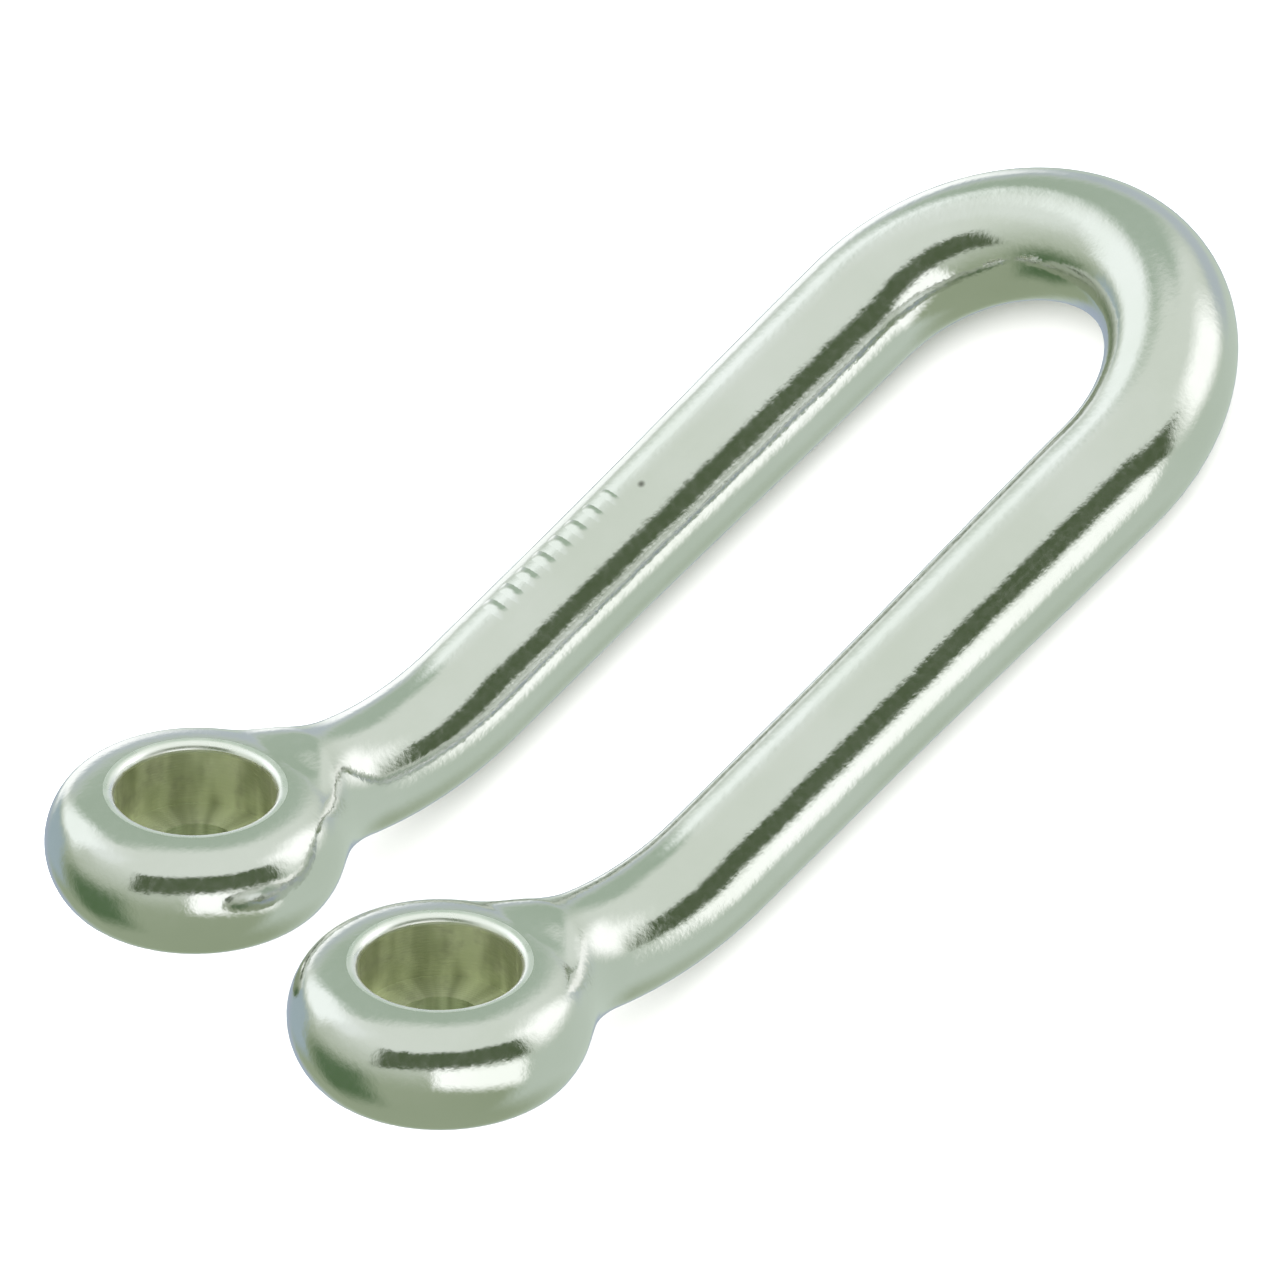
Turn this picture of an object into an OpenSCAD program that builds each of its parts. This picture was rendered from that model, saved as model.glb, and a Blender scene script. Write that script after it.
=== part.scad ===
// Dee shackle bow: a long U of round bar with a ring eye on each end and a turned bush in each eye.
// Millimetres. +Z up, +X towards the crown, the U lies flat and its eyes are cranked up.

/* [Bar] */
// Diameter of the bar along the legs
bar_d = 8; // [6:0.5:12]
// Diameter of the bar round the crown, a little heavier than the legs
crown_bar_d = 8.6; // [8:0.1:12]
// Distance between the two leg centre lines
leg_spacing = 25.6; // [25:0.2:40]
// Length of the straight part of each leg
leg_length = 36; // [20:1:120]
// Length over which a leg thickens into the crown
taper_length = 12; // [4:1:18]

/* [Crank] */
// Angle that the eyes are cranked up out of the plane of the U
crank_angle = 28; // [10:1:45]
// Radius of the crank on the bar's centre line
crank_radius = 21; // [12:1:40]
// Straight distance from the crank to the centre of an eye
neck_length = 12.4; // [12:0.2:24]
// Radius of the hollow between a neck and its eye, seen from above
neck_fillet = 6; // [3:0.5:10]

/* [Eyes] */
// Outer diameter of an eye
eye_d = 19.4; // [19:0.2:24]
// Diameter of the ring's round section
ring_d = 9.4; // [8.6:0.1:9.6]
// Thickness of an eye between its two flat faces
eye_thickness = 8; // [8:0.1:8.4]
// Diameter of the hole in the eye that holds the bush
eye_hole_d = 11.8; // [11.8:0.1:12.4]

/* [Bushes] */
// Inner diameter of the bush, where a bolt head sits
bush_bore_d = 10.4; // [9:0.1:10.4]
// Diameter of the smaller hole through the ledge
bolt_hole_d = 5.5; // [4:0.1:7]
// Distance from the bush's rim down to the ledge
seat_depth = 4.5; // [2.5:0.1:5.5]
// Radius of the bush's polished, rounded rim
rim_r = 0.6; // [0.3:0.05:0.6]

/* [View] */
// Piece to show

/* [Hidden] */
$fn = 40;
steel = [0.78, 0.79, 0.76];
turned_steel = [0.62, 0.62, 0.52];
bar_r = bar_d / 2;
crown_bar_r = crown_bar_d / 2;
half_spacing = leg_spacing / 2;
eye_r = eye_d / 2;
ring_r = ring_d / 2;
ring_centre_r = eye_r - ring_r;
// the bush ends flush with the eye's faces
bush_half_length = eye_thickness / 2;
seat_z = bush_half_length - seat_depth;
// the bore cuts a little way into the rounding of the rim
rim_cut_in = 0.02;
rim_centre_r = bush_bore_d / 2 + rim_r - rim_cut_in;
// centre of an eye, measured from the start of the straight leg
eye_x = -crank_radius * sin(crank_angle) - neck_length * cos(crank_angle);
eye_z = crank_radius * (1 - cos(crank_angle)) + neck_length * sin(crank_angle);
// ends of the whole part along X, from the same point
back_x = eye_x - ring_centre_r * cos(crank_angle) - ring_r;
front_x = leg_length + half_spacing + crown_bar_r;
origin_x = (back_x + front_x) / 2;
// the neck is a touch slimmer than the crank that it runs into, and a touch heavier at the eye
neck_step = 0.1;
neck_r = bar_r - neck_step;
neck_overlap = 1;
neck_spread = 0.06;
// the hollow between neck and eye is an arc whose ends lie a little inside the neck and the ring
branch_r = 3.4;
neck_inset = 0.25;
ring_inset = 0.4;
fillet_y = neck_r - neck_inset + neck_fillet;
fillet_x = sqrt(pow(eye_r - ring_inset + neck_fillet, 2) - pow(fillet_y, 2));
fillet_sweep = atan2(fillet_x, fillet_y);
// how far what is cut away reaches past a surface
past = 1;

// puts a piece drawn from the start of a leg on to the floor, centred
module on_floor() {
    translate([-origin_x, 0, crown_bar_r])
        children();
}

// an eye's own frame: its centre at the origin, its hole along Z, its neck along +X
module at_eye(side) {
    on_floor()
        translate([eye_x, side * half_spacing, eye_z])
            rotate([0, crank_angle, 0])
                children();
}

// round the crown, half a turn
module crown() {
    on_floor()
        translate([leg_length, 0, 0])
            rotate([0, 0, -90])
                rotate_extrude(angle = 180)
                    translate([half_spacing, 0])
                        circle(r = crown_bar_r);
}

// the straight leg, thicker over its last stretch
module leg(side) {
    on_floor()
        translate([0, side * half_spacing, 0])
            rotate([0, 90, 0])
                cylinder(r = bar_r, h = leg_length - taper_length);
    on_floor()
        translate([leg_length - taper_length, side * half_spacing, 0])
            rotate([0, 90, 0])
                cylinder(r1 = bar_r, r2 = crown_bar_r, h = taper_length);
}

// the crank that lifts the neck out of the plane of the U
module crank(side) {
    on_floor()
        translate([0, side * half_spacing, crank_radius])
            mirror([1, 0, 0])
                rotate([90, 0, 0])
                    rotate([0, 0, -90])
                        rotate_extrude(angle = crank_angle)
                            translate([crank_radius, 0])
                                circle(r = bar_r);
}

// the straight neck, let a little way into the crank and run on to the eye's centre
module neck(side) {
    at_eye(side)
        rotate([0, 90, 0])
            cylinder(r1 = neck_r + neck_spread, r2 = neck_r, h = neck_length + neck_overlap);
}

// the bar spreads round the hole: one curved branch on each side of the neck
module neck_branch(side, way) {
    at_eye(side)
        translate([fillet_x, way * fillet_y, 0])
            rotate([0, 0, way > 0 ? -90 - fillet_sweep : 90])
                rotate_extrude(angle = fillet_sweep)
                    translate([neck_fillet + branch_r, 0])
                        circle(r = branch_r);
}

// the ring of the eye, round in section but with flat faces above and below
module eye_ring(side) {
    at_eye(side)
        difference() {
            rotate_extrude()
                translate([ring_centre_r, 0])
                    circle(r = ring_r);
            for (way = [0, 1])
                mirror([0, 0, way])
                    translate([0, 0, eye_thickness / 2])
                        cylinder(r = eye_r, h = ring_r);
        }
}

// what is taken out of an eye: the straight hole that holds the bush
module eye_hole(side) {
    at_eye(side)
        cylinder(r = eye_hole_d / 2, h = ring_d + 2 * past, center = true);
}

// the whole forging: crown, legs, cranks, necks and ring eyes in one piece
module bow() {
    color(steel)
        difference() {
            union() {
                crown();
                for (side = [-1, 1]) {
                    leg(side);
                    crank(side);
                    neck(side);
                    neck_branch(side, 1);
                    neck_branch(side, -1);
                    eye_ring(side);
                }
            }
            eye_hole(-1);
            eye_hole(1);
        }
}

// what rounds off the upper inner edge of a bush
module rim_cutter() {
    translate([0, 0, bush_half_length - rim_r])
        rotate_extrude()
            difference() {
                square([rim_centre_r, rim_r + past]);
                translate([rim_centre_r, 0])
                    circle(r = rim_r);
            }
}

// a turned bush with a rounded rim and a ledge inside, pressed into its eye
module bush(side) {
    at_eye(side)
        difference() {
            cylinder(r = eye_hole_d / 2, h = 2 * bush_half_length, center = true);
            translate([0, 0, seat_z])
                cylinder(r = bush_bore_d / 2, h = seat_depth + past);
            rim_cutter();
            cylinder(r = bolt_hole_d / 2, h = 2 * bush_half_length + past, center = true);
        }
}

module far_eye_bush() {
    color(turned_steel)
        bush(1);
}

module near_eye_bush() {
    color(turned_steel)
        bush(-1);
}

bow();
far_eye_bush();
near_eye_bush();
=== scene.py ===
# Dee shackle bow, lying on a pale floor: the polished forging, its two turned bushes and its raised marks.
import math
import bpy
import numpy as np
from mathutils import Matrix, Vector


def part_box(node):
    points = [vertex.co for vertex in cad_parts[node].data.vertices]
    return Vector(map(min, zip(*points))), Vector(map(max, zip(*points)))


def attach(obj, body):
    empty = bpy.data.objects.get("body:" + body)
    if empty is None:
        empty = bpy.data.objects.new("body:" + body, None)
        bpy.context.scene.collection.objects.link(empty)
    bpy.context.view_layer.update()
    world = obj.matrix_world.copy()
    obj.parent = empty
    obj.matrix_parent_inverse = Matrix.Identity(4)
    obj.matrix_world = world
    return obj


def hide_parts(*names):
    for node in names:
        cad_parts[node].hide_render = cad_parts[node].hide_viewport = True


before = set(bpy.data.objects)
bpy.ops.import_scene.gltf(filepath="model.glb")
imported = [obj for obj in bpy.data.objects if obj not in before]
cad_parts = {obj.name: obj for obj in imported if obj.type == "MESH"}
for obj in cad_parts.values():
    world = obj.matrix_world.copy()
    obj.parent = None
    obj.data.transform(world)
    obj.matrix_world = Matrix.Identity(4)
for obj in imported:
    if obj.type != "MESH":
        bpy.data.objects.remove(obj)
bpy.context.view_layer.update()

MM = 0.001

# The same sizes as the CAD model, in millimetres, but with a longer and softer taper.
BAR_R = 4.0
CROWN_BAR_R = 4.3
HALF_SPACING = 12.8
LEG_LENGTH = 36.0
TAPER_LENGTH = 26.0
CRANK_ANGLE = math.radians(28)
CRANK_R = 21.0
NECK_LENGTH = 12.4
EYE_R = 9.7
RING_R = 4.7
EYE_FACE = 4.0
EYE_HOLE_R = 5.9
# How the forging differs from plain bars: slimmer necks that flow into the eyes, and eye faces that are
# slightly domed.
NECK_R = 3.7
NECK_FLOW = 3.4
FLOW_START = 3.5
FACE_FLOW = 1.5
FACE_DOME = 0.2
# The grid that the forging is meshed on, the room left round it, how near to the edge of a hole a vertex is
# moved on to it, how often vertices are moved on to the surface, and a length too small to see.
MESH_STEP = 0.4
MARGIN = 1.0
EDGE_REACH = 0.9 * MESH_STEP
SURFACE_PASSES = 4
NEARLY_NOTHING = 1e-3

SIN, COS = math.sin(CRANK_ANGLE), math.cos(CRANK_ANGLE)
EYE_X = -CRANK_R * SIN - NECK_LENGTH * COS
EYE_Z = CRANK_R * (1 - COS) + NECK_LENGTH * SIN


def box_centre(node):
    low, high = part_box(node)
    return [(a + b) / 2 for a, b in zip(low, high)]


FAR_EYE = box_centre("far_eye_bush")
NEAR_EYE = box_centre("near_eye_bush")
# The point midway between the legs where their straight part starts, in metres in the CAD's frame.
LEG_START = np.array([FAR_EYE[0] - EYE_X * MM, 0.0, FAR_EYE[2] - EYE_Z * MM])


# ---- the forging's shape, as a distance in millimetres from the start of the legs ----

def smooth_step(t):
    t = np.clip(t, 0, 1)
    return t * t * (3 - 2 * t)


def leg_and_crown(x, y, z):
    along = np.clip(x, 0, LEG_LENGTH)
    radius = BAR_R + (CROWN_BAR_R - BAR_R) * smooth_step((along - LEG_LENGTH) / TAPER_LENGTH + 1)
    leg = np.sqrt((x - along) ** 2 + (y - HALF_SPACING) ** 2 + z ** 2) - radius
    ahead = np.maximum(x - LEG_LENGTH, 0)
    crown = np.hypot(np.hypot(ahead, y) - HALF_SPACING, z) - CROWN_BAR_R
    return np.where(x >= LEG_LENGTH, crown, leg)


def crank(x, y, z):
    turn = np.clip(np.arctan2(-x, CRANK_R - z), 0, CRANK_ANGLE)
    away_x = x + CRANK_R * np.sin(turn)
    away_z = z - CRANK_R * (1 - np.cos(turn))
    return np.sqrt(away_x ** 2 + (y - HALF_SPACING) ** 2 + away_z ** 2) - BAR_R


def neck(x, y, z):
    run = np.clip((x - EYE_X) * COS - (z - EYE_Z) * SIN, 0, NECK_LENGTH)
    radius = NECK_R + (BAR_R - NECK_R) * smooth_step(run / NECK_LENGTH)
    away_x = x - EYE_X - run * COS
    away_z = z - EYE_Z + run * SIN
    return np.sqrt(away_x ** 2 + (y - HALF_SPACING) ** 2 + away_z ** 2) - radius


def from_eye(points):
    """Distance out from the axis of the eye on the same side, and height above that eye's middle."""
    x, y, z = points[..., 0], np.abs(points[..., 1]) - HALF_SPACING, points[..., 2]
    across = (x - EYE_X) * COS - (z - EYE_Z) * SIN
    height = (x - EYE_X) * SIN + (z - EYE_Z) * COS
    return np.hypot(across, y), height


def undrilled(points):
    """Distance from the surface of the forging before its holes are made, negative inside."""
    x, y, z = points[..., 0], np.abs(points[..., 1]), points[..., 2]
    bar = np.minimum(leg_and_crown(x, y, z), np.minimum(crank(x, y, z), neck(x, y, z)))
    out, height = from_eye(points)
    ring = np.hypot(out - (EYE_R - RING_R), height) - RING_R
    beyond_face = np.abs(height) - EYE_FACE - FACE_DOME
    share = np.clip(0.5 + 0.5 * (ring - beyond_face) / FACE_FLOW, 0, 1)
    ring = ring * share + beyond_face * (1 - share) + FACE_FLOW * share * (1 - share)
    # necks and eyes flow together, but not right at the mouth of the hole
    flow = np.maximum(NECK_FLOW * smooth_step((out - EYE_HOLE_R) / FLOW_START), NEARLY_NOTHING)
    share = np.clip(0.5 + 0.5 * (ring - bar) / flow, 0, 1)
    return ring * (1 - share) + bar * share - flow * share * (1 - share)


def forging(points):
    """Distance from the surface of the whole forging, negative inside."""
    out, _ = from_eye(points)
    return np.maximum(undrilled(points), EYE_HOLE_R - out)


def slope(distance, points):
    """Outward direction of a surface given by its distance."""
    steps = np.eye(3) * NEARLY_NOTHING
    g = np.stack([distance(points + s) - distance(points - s) for s in steps], axis=-1)
    return g / np.maximum(np.linalg.norm(g, axis=-1, keepdims=True), 1e-12)


def sharpen_mouths(vertices):
    """Moves the vertices that lie beside the edge of a hole exactly on to that edge."""
    out, height = from_eye(vertices)
    beside = np.hypot(out - EYE_HOLE_R, np.abs(height) - EYE_FACE) < EDGE_REACH
    middle = np.array([EYE_X, 0.0, EYE_Z]) + np.sign(vertices[:, 1:2]) * np.array([0.0, HALF_SPACING, 0.0])
    axis = np.array([SIN, 0.0, COS])
    outward = vertices - middle - height[:, None] * axis
    outward = outward / np.maximum(np.linalg.norm(outward, axis=1, keepdims=True), 1e-9)
    on_edge = middle + EYE_HOLE_R * outward + (np.sign(height) * EYE_FACE)[:, None] * axis
    return np.where(beside[:, None], on_edge, vertices)


def surface_net(distance, low, high, step):
    """Meshes the surface where a distance is zero: a vertex a cell, and a quad on each edge crossed."""
    axes = [np.arange(a, b + step, step) for a, b in zip(low, high)]
    grid = np.stack(np.meshgrid(*axes, indexing="ij"), axis=-1)
    field = distance(grid)
    cells = tuple(n - 1 for n in field.shape)
    total, count = np.zeros(cells + (3,)), np.zeros(cells)
    crossings = []
    for axis in range(3):
        first = [slice(None)] * 3
        second = [slice(None)] * 3
        first[axis], second[axis] = slice(None, -1), slice(1, None)
        f0, f1 = field[tuple(first)], field[tuple(second)]
        crosses = (f0 < 0) != (f1 < 0)
        share = np.where(crosses, f0 / np.where(crosses, f0 - f1, 1), 0)
        point = grid[tuple(first)].copy()
        point[..., axis] += share * step
        others = [a for a in range(3) if a != axis]
        for i in (0, 1):
            for j in (0, 1):
                part = [slice(None)] * 3
                part[others[0]] = slice(i, i + cells[others[0]])
                part[others[1]] = slice(j, j + cells[others[1]])
                part = tuple(part)
                total += point[part] * crosses[part][..., None]
                count += crosses[part]
        crossings.append((axis, others, np.argwhere(crosses), f0[crosses] < 0))
    used = count > 0
    index = np.full(cells, -1)
    index[used] = np.arange(used.sum())
    vertices = total[used] / count[used][:, None]
    faces = []
    for axis, others, where, outward in crossings:
        ring = []
        for i, j in ((1, 1), (0, 1), (0, 0), (1, 0)):
            cell = where.copy()
            cell[:, others[0]] -= i
            cell[:, others[1]] -= j
            ring.append(index[cell[:, 0], cell[:, 1], cell[:, 2]])
        quads = np.stack(ring, axis=-1)
        flip = outward if axis != 1 else ~outward
        quads[~flip] = quads[~flip][:, ::-1]
        faces.append(quads)
    return vertices, np.concatenate(faces)


def mesh_object(name, vertices, faces, normals=None):
    """A smooth-shaded object from millimetre points in the legs' frame."""
    mesh = bpy.data.meshes.new(name)
    mesh.from_pydata((vertices * MM + LEG_START).tolist(), [], faces.tolist())
    mesh.polygons.foreach_set("use_smooth", np.ones(len(mesh.polygons), dtype=bool))
    mesh.update()
    if normals is not None:
        mesh.normals_split_custom_set_from_vertices(normals.tolist())
    piece = bpy.data.objects.new(name, mesh)
    bpy.context.scene.collection.objects.link(piece)
    return piece


def make_forging():
    """The U with its cranked necks and ring eyes, one flowing surface."""
    low = (EYE_X - EYE_R - MARGIN, -HALF_SPACING - EYE_R - MARGIN, -CROWN_BAR_R - MARGIN)
    high = (LEG_LENGTH + HALF_SPACING + CROWN_BAR_R + MARGIN, HALF_SPACING + EYE_R + MARGIN,
            EYE_Z + EYE_R + MARGIN)
    vertices, faces = surface_net(forging, low, high, MESH_STEP)
    for _ in range(SURFACE_PASSES):
        vertices = vertices - forging(vertices)[:, None] * slope(forging, vertices)
    vertices = sharpen_mouths(vertices)
    return mesh_object("forged_bow", vertices, faces, slope(undrilled, vertices))


def make_raised_marks():
    """A plain row of low raised bars across the top of the far leg, where a forging is usually marked."""
    bars, start, pitch = 8, 4.4, 1.5
    half_width, half_length, proud, sunk = 0.55, 1.5, 0.08, 0.01
    side = np.linspace(-1, 1, 13)
    vertices, faces = [], []
    for bar in range(bars):
        for v in side:
            for u in side:
                rise = proud * (1 - u ** 2) ** 2 * (1 - v ** 4) ** 2 - sunk
                angle = math.pi / 2 + (v * half_length) / BAR_R
                x = start + bar * pitch + u * half_width
                r = BAR_R + rise
                vertices.append((x, HALF_SPACING + r * math.cos(angle), r * math.sin(angle)))
        n = len(side)
        base = bar * n * n
        for j in range(n - 1):
            for i in range(n - 1):
                k = base + j * n + i
                faces.append((k, k + n, k + n + 1, k + 1))
    return mesh_object("raised_marks", np.array(vertices), np.array(faces))


# ---- materials ----

CLEAN_STEEL = (0.80, 0.80, 0.785, 1)
STAINED_STEEL = (0.75, 0.76, 0.725, 1)
# Painted shade: the dark colour of the small pit, which has no shape of its own.
PIT_PAINTED_SHADE = (0.24, 0.24, 0.22, 1)
# Painted highlight: a brighter colour on a bush's rounded rim stands in for the light it catches.
RIM_PAINTED_HIGHLIGHT = (0.97, 0.97, 0.955, 1)
# Painted reflections: the bore wall's colour swings between these two in upright streaks round the bore,
# standing in for reflections on the turned wall.
WALL_LIGHT_REFLECTION = (0.77, 0.80, 0.59, 1)
WALL_DARK_REFLECTION = (0.48, 0.51, 0.34, 1)
GRIME = (0.36, 0.36, 0.26, 1)
PAPER = (0.93, 0.935, 0.93, 1)
PAPER_FIBRE = (0.95, 0.95, 0.945, 1)
# In millimetres: the small pit on top of the far leg, from the start of the legs, with the dark core and the
# outer radius of its painted shade, then the pitch of a bush's turning rings and the height and softness of
# its rim's painted highlight.
PIT_PLACE = (16.8, 11.8, 3.87)
PIT_CORE_R = 0.05
PIT_R = 0.36
TURNING_RING = 0.22
BUSH_RIM_HEIGHT = 0.6
RIM_EDGE = 0.1


class Nodes:
    """Short names for adding and joining nodes."""

    def __init__(self, tree):
        self.tree = tree
        self.tree.nodes.clear()

    def add(self, kind, values=None, **settings):
        node = self.tree.nodes.new(kind)
        for name, value in settings.items():
            setattr(node, name, value)
        for name, value in (values or {}).items():
            if isinstance(value, bpy.types.NodeSocket):
                self.tree.links.new(value, node.inputs[name])
            else:
                node.inputs[name].default_value = value
        return node

    def math(self, operation, *values):
        node = self.add("ShaderNodeMath", {i: v for i, v in enumerate(values)}, operation=operation)
        return node.outputs[0]

    def ramp(self, value, low, high, to_low=0.0, to_high=1.0):
        values = {"Value": value, "From Min": low, "From Max": high, "To Min": to_low, "To Max": to_high}
        return self.add("ShaderNodeMapRange", values, interpolation_type="SMOOTHSTEP").outputs[0]

    def mix(self, share, a, b):
        node = self.add("ShaderNodeMix", {0: share, 6: a, 7: b}, data_type="RGBA")
        return node.outputs[2]

    def noise(self, vector, scale, detail=2.0):
        values = {"Vector": vector, "Scale": scale, "Detail": detail}
        return self.add("ShaderNodeTexNoise", values).outputs[0]


def new_material(name):
    material = bpy.data.materials.new(name)
    material.use_nodes = True
    return material, Nodes(material.node_tree)


def finish_material(n, colour, roughness, height, bump_mm, metallic=1.0):
    """Joins colour, roughness and relief to a shader and the output."""
    bump = n.add("ShaderNodeBump", {"Height": height, "Distance": bump_mm * MM, "Strength": 1.0})
    shader = n.add("ShaderNodeBsdfPrincipled", {"Base Color": colour, "Roughness": roughness,
                                                "Normal": bump.outputs[0], "Metallic": metallic})
    n.add("ShaderNodeOutputMaterial", {"Surface": shader.outputs[0]})


def polished_steel():
    """Polished stainless forging, slightly uneven, with faint stains, fine scratches and one small pit
    painted as a dark spot of shade.
    """
    material, n = new_material("polished_steel")
    place = n.add("ShaderNodeTexCoord").outputs["Object"]
    waves = n.noise(place, 330.0, 1.0)
    grain = n.noise(place, 2600.0, 3.0)
    stains = n.noise(place, 95.0, 3.0)
    along = n.add("ShaderNodeMapping", {"Vector": place, "Scale": (120.0, 3000.0, 3000.0)}).outputs[0]
    scratches = n.noise(along, 1.0, 2.0)
    pit_at = (LEG_START + np.array(PIT_PLACE) * MM).tolist()
    away = n.add("ShaderNodeVectorMath", {0: place, 1: pit_at}, operation="DISTANCE").outputs["Value"]
    # painted shade: a dark spot that fades out round the small pit
    pit_shade_mask = n.ramp(away, PIT_CORE_R * MM, PIT_R * MM)
    colour = n.mix(n.ramp(stains, 0.35, 0.7), CLEAN_STEEL, STAINED_STEEL)
    colour = n.mix(pit_shade_mask, PIT_PAINTED_SHADE, colour)
    rough = n.math("ADD", n.ramp(grain, 0.3, 0.75, 0.07, 0.15), n.ramp(scratches, 0.5, 0.8, 0.0, 0.05))
    height = n.math("ADD", waves, n.math("MULTIPLY", grain, 0.30))
    height = n.math("ADD", height, n.math("MULTIPLY", scratches, 0.06))
    finish_material(n, colour, rough, height, bump_mm=0.04)
    return material


def turned_steel(name, eye):
    """A bush: a rounded rim with a painted highlight, then a duller, warmer wall with turning rings and
    upright streaks of painted reflection.
    """
    material, n = new_material(name)
    place = n.add("ShaderNodeTexCoord").outputs["Object"]
    moved = n.add("ShaderNodeVectorMath", {0: place, 1: tuple(eye)}, operation="SUBTRACT").outputs[0]
    turned = n.add("ShaderNodeVectorRotate", {"Vector": moved, "Angle": -CRANK_ANGLE},
                   rotation_type="Y_AXIS").outputs[0]
    parts = n.add("ShaderNodeSeparateXYZ", {0: turned}).outputs
    flat = n.add("ShaderNodeCombineXYZ", {"X": parts["X"], "Y": parts["Y"]}).outputs[0]
    out = n.add("ShaderNodeVectorMath", {0: flat}, operation="LENGTH").outputs["Value"]
    facing = n.add("ShaderNodeVectorMath", {0: flat}, operation="NORMALIZE").outputs[0]
    # painted reflection streaks: they change round the bore and stretch along it
    slow = n.add("ShaderNodeVectorMath", {0: turned, 1: (0.0, 0.0, 60.0)}, operation="MULTIPLY").outputs[0]
    reflection_streak_place = n.add("ShaderNodeVectorMath", {0: facing, 1: slow}, operation="ADD").outputs[0]
    reflection_streaks = n.noise(reflection_streak_place, 3.2, 2.0)
    grime = n.noise(place, 650.0, 4.0)
    sweep = n.math("ADD", parts["Z"], out)
    groove = n.math("SINE", n.math("MULTIPLY", sweep, 2 * math.pi / (TURNING_RING * MM)))
    # the rim band: a painted highlight in its colour, and also a smoother, less rough finish
    rim_highlight_and_polish = n.ramp(parts["Z"], (EYE_FACE - BUSH_RIM_HEIGHT - RIM_EDGE) * MM,
                 (EYE_FACE - BUSH_RIM_HEIGHT + RIM_EDGE) * MM)
    wall = n.mix(n.ramp(reflection_streaks, 0.3, 0.7), WALL_LIGHT_REFLECTION, WALL_DARK_REFLECTION)
    wall = n.mix(n.ramp(grime, 0.5, 0.8, 0.0, 0.5), wall, GRIME)
    colour = n.mix(rim_highlight_and_polish, wall, RIM_PAINTED_HIGHLIGHT)
    rough = n.math("SUBTRACT", n.ramp(grime, 0.3, 0.7, 0.42, 0.54), n.math("MULTIPLY", rim_highlight_and_polish, 0.18))
    height = n.math("ADD", n.math("MULTIPLY", groove, 0.5), grime)
    height = n.math("MULTIPLY", height, n.math("SUBTRACT", 1.0, n.math("MULTIPLY", rim_highlight_and_polish, 0.95)))
    finish_material(n, colour, rough, height, bump_mm=0.008)
    return material


def floor_material():
    material, n = new_material("floor_paper")
    place = n.add("ShaderNodeTexCoord").outputs["Object"]
    fibre = n.noise(place, 900.0, 3.0)
    colour = n.mix(fibre, PAPER, PAPER_FIBRE)
    finish_material(n, colour, roughness=0.9, height=fibre, bump_mm=0.01, metallic=0.0)
    return material


# ---- camera, floor and light ----

# The camera's place, the way it looks and the way its right side points, then the lamp's place, in metres.
CAMERA_PLACE = (-0.26804, -0.83889, 0.91154)
CAMERA_AIM = (0.20960, 0.66627, -0.71565)
CAMERA_RIGHT = (0.69590, -0.61579, -0.36949)
LAMP_PLACE = (0.15, 0.25, 0.9)
FLOOR_HALF_SIDE = 3.0


def make_camera():
    """Long lens, from in front and to the left, tilted so that the eyes look level."""
    camera = bpy.data.objects.new("camera", bpy.data.cameras.new("camera"))
    bpy.context.scene.collection.objects.link(camera)
    camera.data.lens = 555.5
    camera.data.sensor_width = 36.0
    camera.data.clip_start = 0.05
    camera.data.clip_end = 50.0
    forward = Vector(CAMERA_AIM)
    right = Vector(CAMERA_RIGHT)
    up = right.cross(forward).normalized()
    right = forward.cross(up).normalized()
    turn = Matrix((right, up, -forward)).transposed().to_4x4()
    camera.matrix_world = Matrix.Translation(Vector(CAMERA_PLACE)) @ turn
    bpy.context.scene.camera = camera


def make_floor():
    signs = ((-1, -1), (1, -1), (1, 1), (-1, 1))
    corners = [(x * FLOOR_HALF_SIDE, y * FLOOR_HALF_SIDE, 0) for x, y in signs]
    mesh = bpy.data.meshes.new("floor")
    mesh.from_pydata(corners, [], [(0, 1, 2, 3)])
    floor = bpy.data.objects.new("floor", mesh)
    bpy.context.scene.collection.objects.link(floor)
    floor.data.materials.append(floor_material())
    floor.visible_glossy = False


# The studio as polished metal sees it, looking out from the part. All angles are in degrees, in the frame of
# the eyes, whose holes point straight up.
def patch(azimuth, elevation, half_width, half_height, side_softness, edge_softness, colour,
          slope_up=0, sag=0):
    """A soft patch of light. Its middle line can slope up, and sag at both ends.

    The slope is in degrees for each degree of azimuth, the sag in degrees for each square degree.
    """
    return (azimuth, elevation, half_width, half_height, side_softness, edge_softness, slope_up, sag, colour)


STUDIO = {
    "pale_floor_right": patch(8, -22, 76, 32, 14, 16, (0.57, 0.66, 0.57)),
    "white_table_edge": patch(-98, -4, 34, 18, 6, 8, (1.25, 1.30, 1.25), slope_up=-0.22),
    "dark_room": patch(-118, 31, 58, 15, 6, 4, (0.085, 0.12, 0.06), slope_up=0.03, sag=0.0029),
    "lamp_right": patch(-26, 30, 25, 20, 12, 12, (1.30, 1.34, 1.30)),
    "grey_wall_behind": patch(66, 42, 34, 20, 12, 9, (0.42, 0.52, 0.42)),
    "blue_wall_behind": patch(40, 8, 38, 12, 10, 8, (0.50, 0.57, 0.60)),
    "glow_behind": patch(130, 42, 26, 14, 12, 12, (0.86, 0.93, 0.88)),
    "lamp_behind": patch(108, 28, 21, 19, 8, 8, (1.06, 1.14, 1.10)),
    "low_lamp_behind": patch(70, -3, 14, 13, 6, 6, (1.20, 1.24, 1.23)),
    "blue_gap_behind": patch(100, -15, 18, 17, 7, 7, (0.38, 0.48, 0.52)),
    "blue_floor_behind": patch(62, -33, 24, 14, 8, 8, (0.40, 0.47, 0.56)),
    "dark_corner_left": patch(152, -30, 26, 22, 14, 12, (0.10, 0.17, 0.08)),
}
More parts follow.
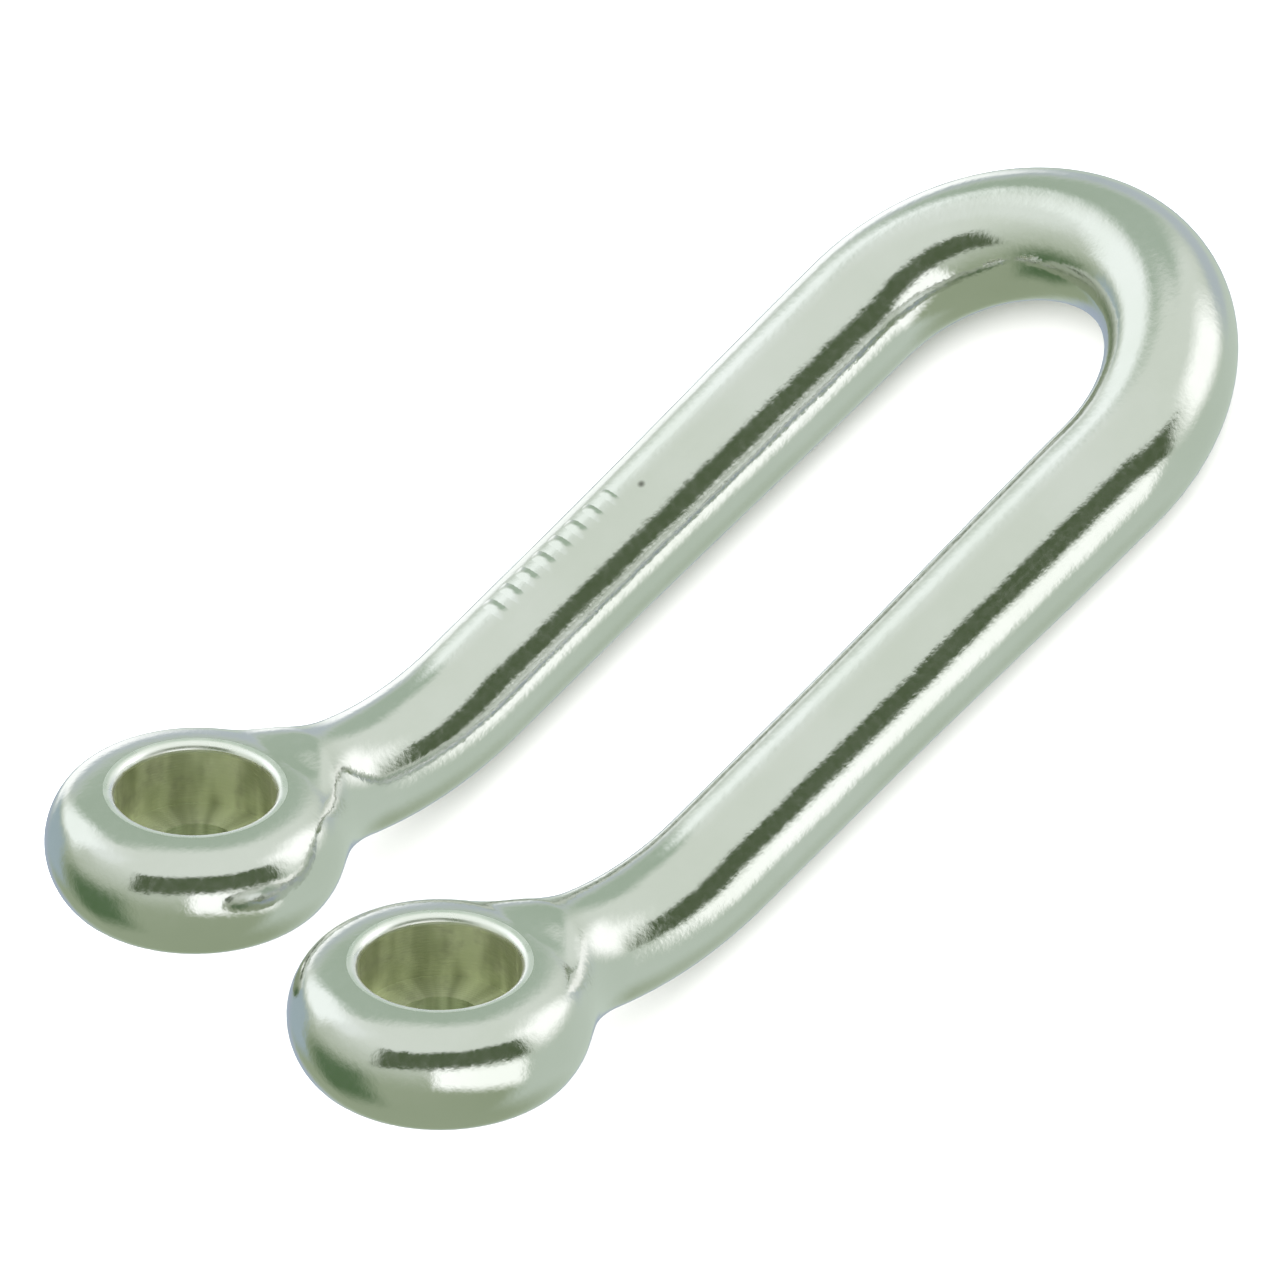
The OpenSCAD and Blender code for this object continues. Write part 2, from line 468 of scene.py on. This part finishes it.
# Colours overhead and underfoot where no patch lies, the elevations between which one turns into the other,
# and the plain light that everything but a reflection gets.
STUDIO_TOP = (0.75, 0.82, 0.74, 1)
STUDIO_LOW = (0.34, 0.41, 0.28, 1)
HORIZON = (-25.0, 45.0)
PAPER_LIGHT = (2.6, 2.6, 2.58, 1)


def make_studio_light():
    """Soft light all round: reflections show the studio's patches, and all else gets plain light."""
    world = bpy.data.worlds.new("studio")
    bpy.context.scene.world = world
    world.use_nodes = True
    n = Nodes(world.node_tree)
    place = n.add("ShaderNodeTexCoord").outputs["Generated"]
    turned = n.add("ShaderNodeVectorRotate", {"Vector": place, "Angle": -CRANK_ANGLE},
                   rotation_type="Y_AXIS").outputs[0]
    parts = n.add("ShaderNodeSeparateXYZ", {0: turned}).outputs
    degrees = 180 / math.pi
    azimuth = n.math("MULTIPLY", n.math("ARCTAN2", parts["Y"], parts["X"]), degrees)
    elevation = n.math("MULTIPLY", n.math("ARCSINE", parts["Z"]), degrees)
    colour = n.mix(n.ramp(elevation, *HORIZON), STUDIO_LOW, STUDIO_TOP)
    for az, el, half_az, half_el, side_soft, soft, slope_up, sag, rgb in STUDIO.values():
        along = n.math("WRAP", n.math("SUBTRACT", azimuth, az), 180.0, -180.0)
        off = n.math("ABSOLUTE", along)
        middle = n.math("ADD", n.math("MULTIPLY", along, slope_up), el)
        middle = n.math("SUBTRACT", middle, n.math("MULTIPLY", n.math("MULTIPLY", along, along), sag))
        rise = n.math("ABSOLUTE", n.math("SUBTRACT", elevation, middle))
        inside = n.math("MULTIPLY", n.ramp(off, half_az - side_soft, half_az + side_soft, 1.0, 0.0),
                        n.ramp(rise, half_el - soft, half_el + soft, 1.0, 0.0))
        colour = n.mix(inside, colour, rgb + (1,))
    glossy = n.add("ShaderNodeLightPath").outputs["Is Glossy Ray"]
    background = n.add("ShaderNodeBackground", {"Color": n.mix(glossy, PAPER_LIGHT, colour)})
    n.add("ShaderNodeOutputWorld", {"Surface": background.outputs[0]})


def make_lamp():
    """One large soft lamp overhead, which gives the part a faint shadow."""
    lamp = bpy.data.lights.new("soft_lamp", "AREA")
    lamp.size = 0.6
    lamp.energy = 0.25
    holder = bpy.data.objects.new("soft_lamp", lamp)
    holder.location = LAMP_PLACE
    holder.rotation_euler = (-Vector(LAMP_PLACE)).to_track_quat("-Z", "Y").to_euler()
    holder.visible_glossy = False
    bpy.context.scene.collection.objects.link(holder)


def paint(piece, material):
    piece.data.materials.clear()
    piece.data.materials.append(material)


make_camera()
make_floor()
make_studio_light()
make_lamp()
bpy.context.scene.view_settings.view_transform = "Standard"

steel = polished_steel()
bow = make_forging()
paint(bow, steel)
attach(bow, "root")
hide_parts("bow")

marks = make_raised_marks()
paint(marks, steel)
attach(marks, "root")

paint(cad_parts["far_eye_bush"], turned_steel("turned_steel_far", FAR_EYE))
paint(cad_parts["near_eye_bush"], turned_steel("turned_steel_near", NEAR_EYE))
